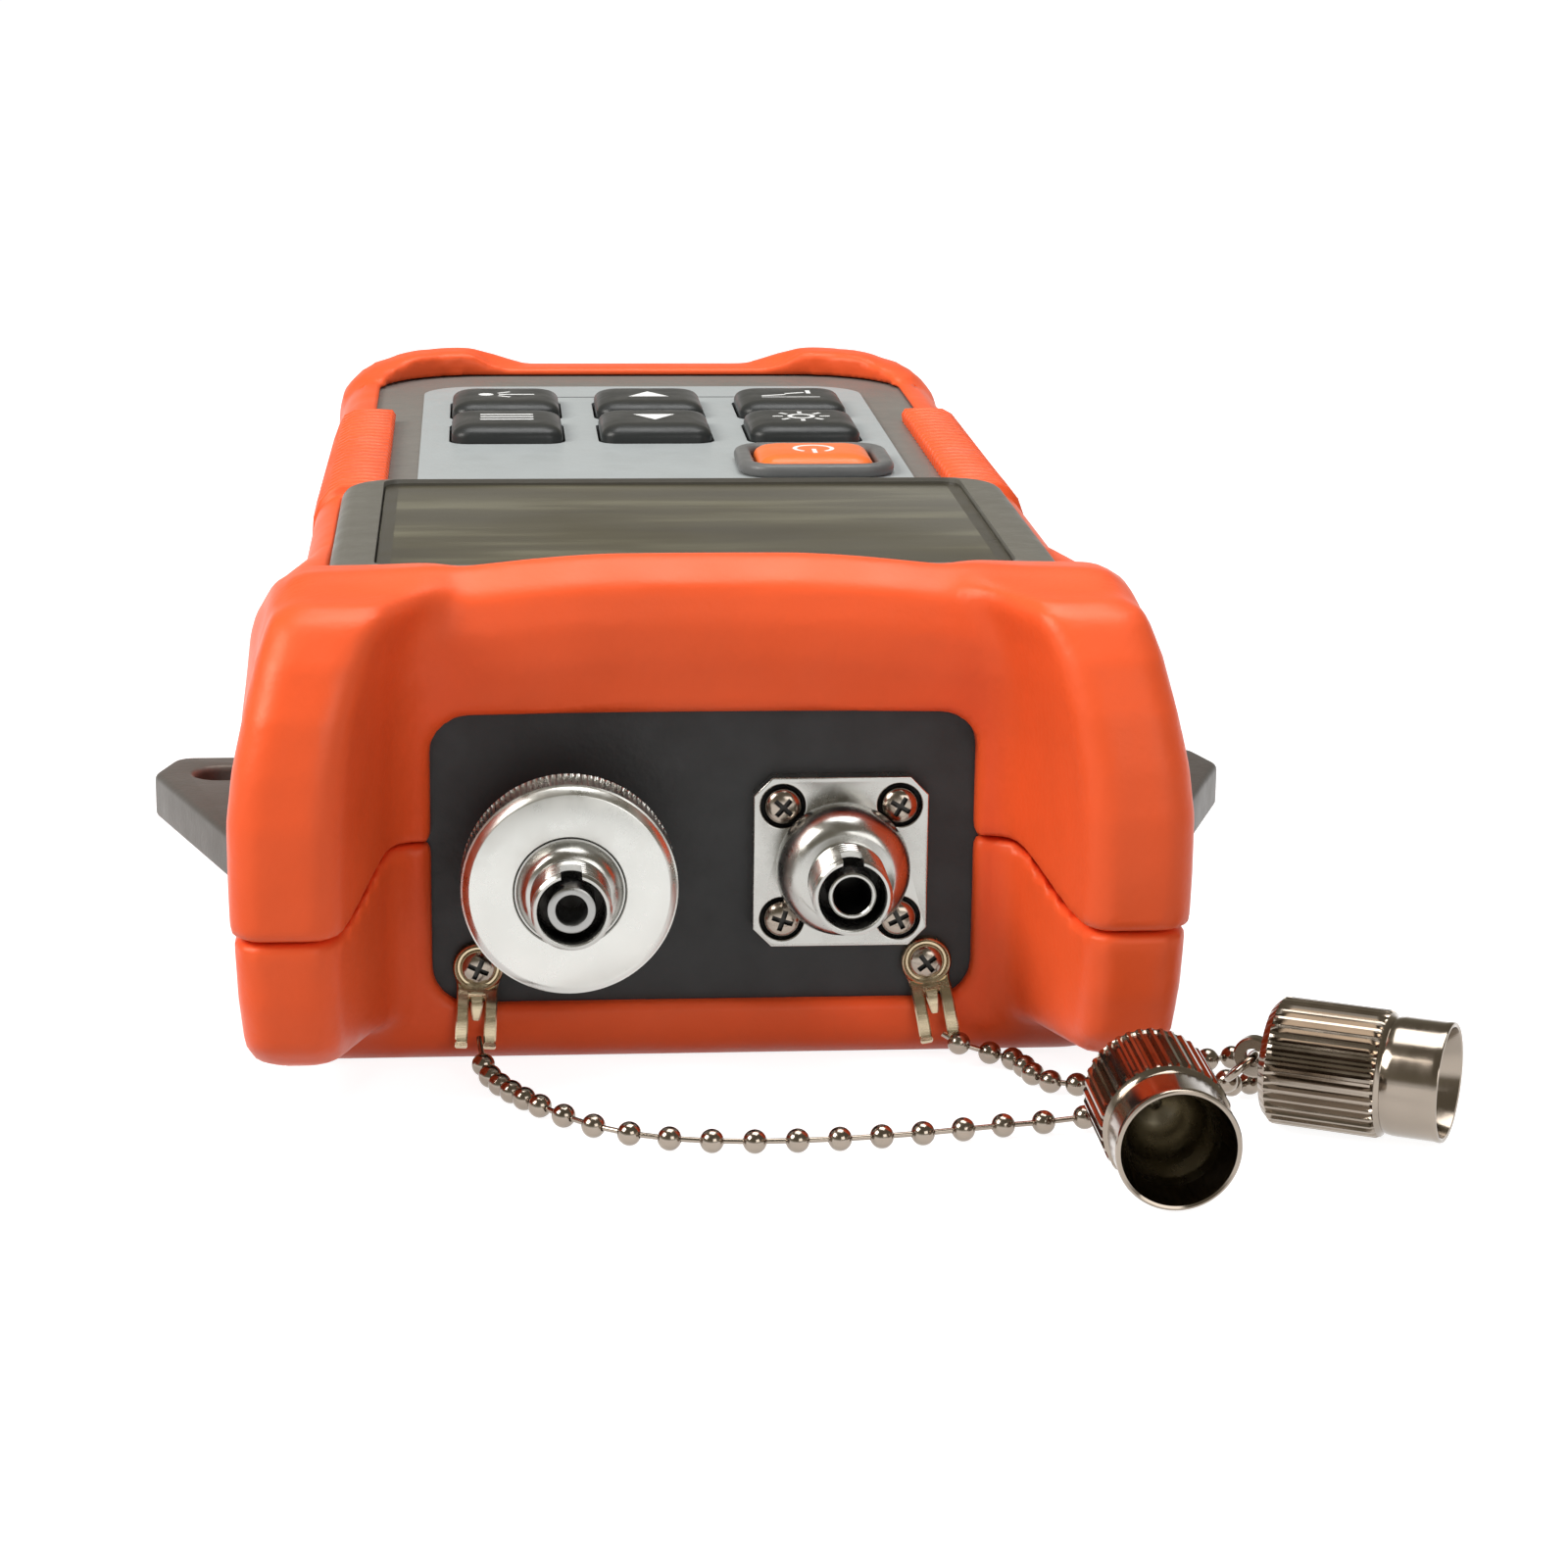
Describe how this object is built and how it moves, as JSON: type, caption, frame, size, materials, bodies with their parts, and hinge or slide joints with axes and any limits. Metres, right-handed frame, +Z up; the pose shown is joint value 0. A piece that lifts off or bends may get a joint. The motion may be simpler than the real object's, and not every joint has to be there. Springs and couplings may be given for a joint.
{
  "type": "optical time domain reflectometer",
  "caption": "Handheld fibre tester lying on its back: rubber boot, display, sprung keys, FC test port, FC laser port, strap lugs and dust caps on bead chains.",
  "frame": {"origin": "middle of the underside that the tester lies on, below the middle of its length without the loose caps and chains", "axes": "+Y from the connector end to the far end, +X to the right as seen from the connector end, +Z up through the display and keys"},
  "size_m": [0.1316, 0.223, 0.0533],
  "materials": {
    "rubber_orange": "satin moulded rubber",
    "casing_grey": "fine texture",
    "panel_black": "fine texture",
    "window_glass": "glossy",
    "lcd_dark": "glossy",
    "light_white": "matt",
    "steel": "brushed",
    "overlay_grey": "fine texture",
    "ring_grey": "satin",
    "key_dark": "satin",
    "key_orange": "satin",
    "silicone": "matt",
    "board_green": "satin",
    "shield_tin": "satin",
    "plug_white": "matt",
    "module_aluminium": "satin",
    "laser_brass": "satin",
    "fibre_jacket": "satin",
    "cell_wrap": "glossy",
    "nickel": "satin nickel",
    "bright_nickel": "polished nickel",
    "ceramic": "glossy"
  },
  "bodies": {
    "housing": {"upper_boot": "rubber_orange", "lower_boot": "rubber_orange", "upper_casing": "casing_grey", "lower_casing": "casing_grey", "casing_seal": "silicone", "casing_screws": "steel", "end_panel": "panel_black", "display_frame": "casing_grey", "display_window": "window_glass", "lcd_panel": "lcd_dark", "lcd_backlight": "light_white", "lcd_bracket": "casing_grey", "keypad_overlay": "overlay_grey", "power_key_ring": "ring_grey", "key_mat": "silicone", "key_domes": "steel", "key_board": "board_green", "key_board_screws": "steel", "main_board": "board_green", "board_screws": "steel", "board_shield": "shield_tin", "board_link": "plug_white", "measuring_module": "module_aluminium", "fault_laser": "laser_brass", "laser_cradle": "panel_black", "fibre_pigtail": "fibre_jacket", "battery_cell_left": "cell_wrap", "battery_cell_right": "cell_wrap", "battery_tray": "panel_black", "battery_contacts": "nickel", "strap_lug_right": "casing_grey", "strap_lug_left": "casing_grey", "test_port_body": "nickel", "test_port_sleeve": "nickel", "flange_screws": "bright_nickel", "laser_port_stub": "nickel", "chain_tab_left": "bright_nickel", "chain_tab_right": "bright_nickel", "tab_screws": "bright_nickel", "dust_cap_front": "bright_nickel", "dust_cap_side": "bright_nickel", "cap_ring_front": "bright_nickel", "cap_ring_side": "bright_nickel", "chain_left": "bright_nickel", "chain_right": "bright_nickel"},
    "trace_key_body": {"trace_key": "key_dark"},
    "down_key_body": {"down_key": "key_dark"},
    "laser_key_body": {"laser_key": "key_dark"},
    "light_key_body": {"light_key": "key_dark"},
    "up_key_body": {"up_key": "key_dark"},
    "index_key_body": {"index_key": "key_dark"},
    "power_key_body": {"power_key": "key_orange"},
    "battery_door_body": {"battery_door": "panel_black"},
    "laser_insert_body": {"laser_port_insert": "nickel", "laser_port_sleeve": "ceramic"},
    "coupling_nut_body": {"coupling_nut": "nickel"}
  },
  "joints": [
    {"name": "trace_key_press", "type": "slide", "parent": "housing", "child": "trace_key_body", "axis": [0, 0, -1], "range_m": [0, 0.0008], "stiffness_N_per_m": 1500, "springref_m": -0.0004},
    {"name": "down_key_press", "type": "slide", "parent": "housing", "child": "down_key_body", "axis": [0, 0, -1], "range_m": [0, 0.0008], "stiffness_N_per_m": 1500, "springref_m": -0.0004},
    {"name": "laser_key_press", "type": "slide", "parent": "housing", "child": "laser_key_body", "axis": [0, 0, -1], "range_m": [0, 0.0008], "stiffness_N_per_m": 1500, "springref_m": -0.0004},
    {"name": "light_key_press", "type": "slide", "parent": "housing", "child": "light_key_body", "axis": [0, 0, -1], "range_m": [0, 0.0008], "stiffness_N_per_m": 1500, "springref_m": -0.0004},
    {"name": "up_key_press", "type": "slide", "parent": "housing", "child": "up_key_body", "axis": [0, 0, -1], "range_m": [0, 0.0008], "stiffness_N_per_m": 1500, "springref_m": -0.0004},
    {"name": "index_key_press", "type": "slide", "parent": "housing", "child": "index_key_body", "axis": [0, 0, -1], "range_m": [0, 0.0008], "stiffness_N_per_m": 1500, "springref_m": -0.0004},
    {"name": "power_key_press", "type": "slide", "parent": "housing", "child": "power_key_body", "axis": [0, 0, -1], "range_m": [0, 0.0008], "stiffness_N_per_m": 1500, "springref_m": -0.0004},
    {"name": "battery_door_slide", "type": "slide", "parent": "housing", "child": "battery_door_body", "axis": [0, 1, 0], "range_m": [0, 0.006]},
    {"name": "laser_insert_slide", "type": "slide", "parent": "housing", "child": "laser_insert_body", "axis": [0, -1, 0], "range_m": [0, 0.004]},
    {"name": "coupling_nut_turn", "type": "hinge", "parent": "laser_insert_body", "child": "coupling_nut_body", "pos_m": [-0.014, -0.0865, 0.0217], "axis": [0, -1, 0], "range_deg": [0, 1440]}
  ],
  "couplings": [
    {"joint": "coupling_nut_turn", "follows": "laser_insert_slide", "rad_per_m": 6283.2}
  ]
}
